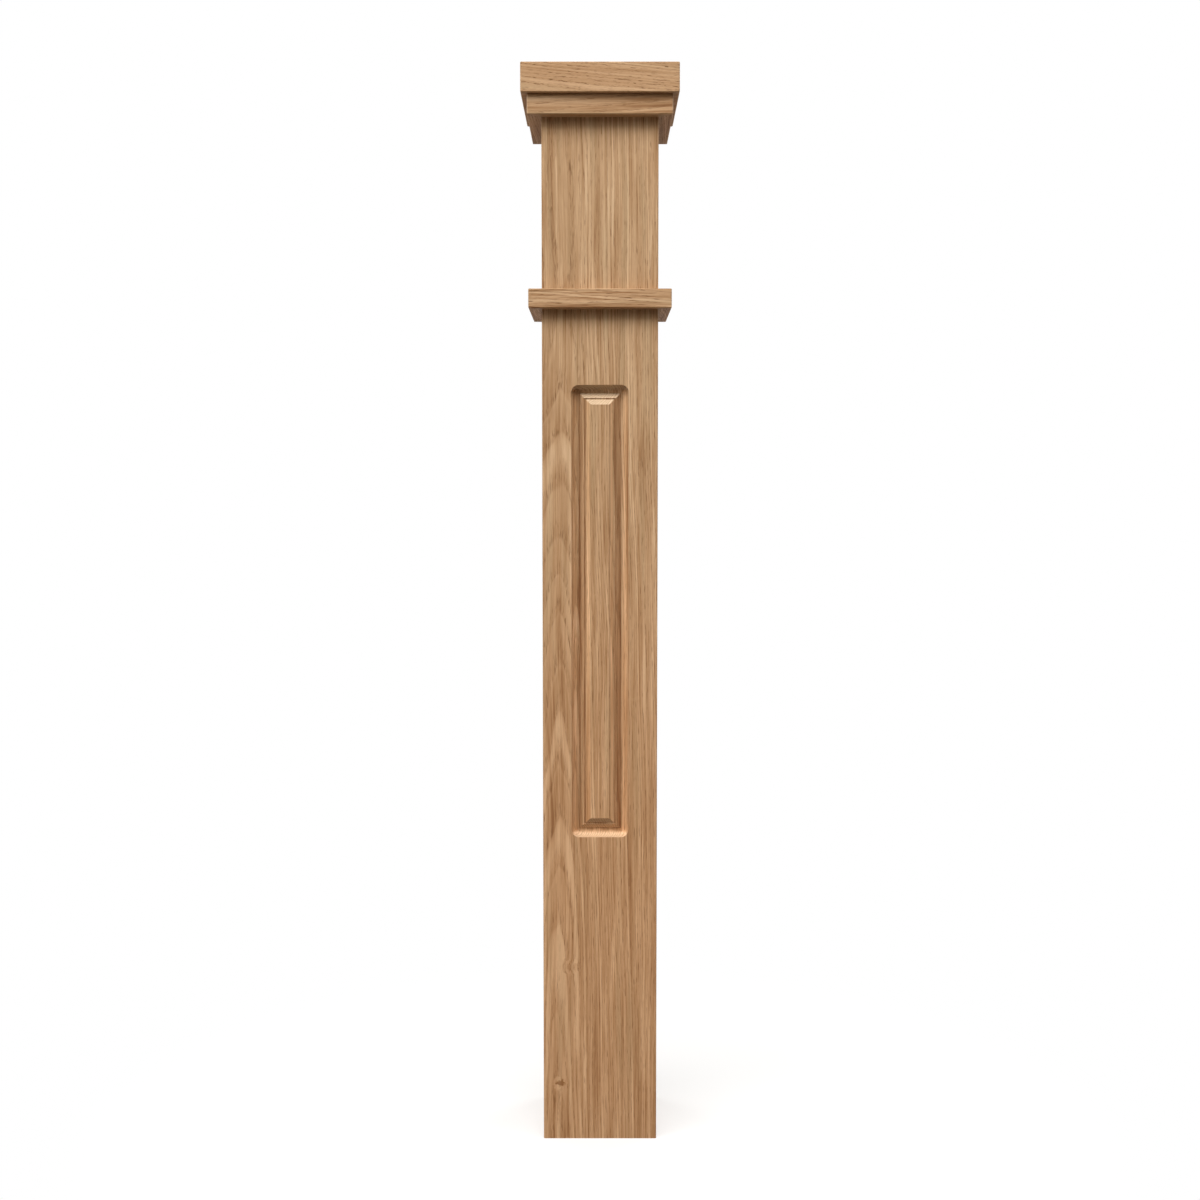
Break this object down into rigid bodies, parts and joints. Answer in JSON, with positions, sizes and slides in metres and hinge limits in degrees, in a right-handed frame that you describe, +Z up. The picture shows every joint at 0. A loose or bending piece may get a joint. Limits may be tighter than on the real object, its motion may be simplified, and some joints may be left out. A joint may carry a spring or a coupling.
{
  "type": "box newel post",
  "caption": "Square hollow oak newel post with a flat overhanging cap on a moulding, a collar band and a long routed raised panel on each face.",
  "frame": {"origin": "centre of the square foot, on the surface that the post stands on", "axes": "+Z up the post's axis, the front face looks along -Y, +X to the right of a person who faces the front"},
  "size_m": [0.204, 0.204, 1.422],
  "materials": {
    "shaft_oak": "natural oak, clear satin finish, grain up the post",
    "collar_oak": "natural oak, clear satin finish, grain along each strip",
    "moulding_oak": "natural oak, clear satin finish, grain along each strip",
    "cap_oak": "natural oak, clear satin finish, grain across the post"
  },
  "bodies": {
    "root": {"shaft_front": "shaft_oak", "shaft_right": "shaft_oak", "shaft_back": "shaft_oak", "shaft_left": "shaft_oak", "collar_front": "collar_oak", "collar_right": "collar_oak", "collar_back": "collar_oak", "collar_left": "collar_oak", "moulding_front": "moulding_oak", "moulding_right": "moulding_oak", "moulding_back": "moulding_oak", "moulding_left": "moulding_oak", "cap_plate": "cap_oak"}
  },
  "joints": []
}
